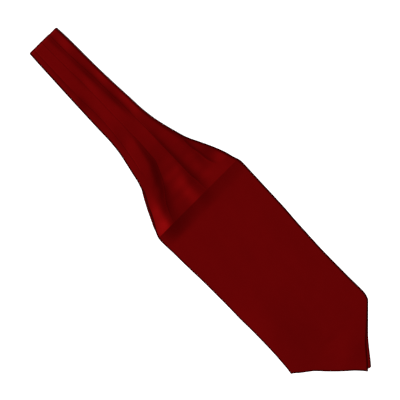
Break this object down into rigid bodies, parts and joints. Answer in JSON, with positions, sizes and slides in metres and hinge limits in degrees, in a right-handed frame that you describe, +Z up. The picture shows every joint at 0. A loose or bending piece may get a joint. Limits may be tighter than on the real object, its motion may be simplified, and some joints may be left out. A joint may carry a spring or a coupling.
{
  "type": "silk cravat",
  "caption": "Plain silk satin day cravat, folded in half at its pleated neck band and laid flat with its pointed blades on each other.",
  "frame": {"origin": "middle of the folded cravat's footprint, on the surface it lies on", "axes": "+X along the cravat from the fold in the neck band to the points, +Y across it, +Z up through the layers"},
  "size_m": [0.63, 0.1554, 0.0094],
  "materials": {
    "silk_satin": "deep red silk satin, fine weave, soft sheen"
  },
  "bodies": {
    "root": {"neck_band": "silk_satin", "flare_upper": "silk_satin", "flare_lower": "silk_satin", "blade_upper": "silk_satin", "blade_lower": "silk_satin"}
  },
  "joints": []
}
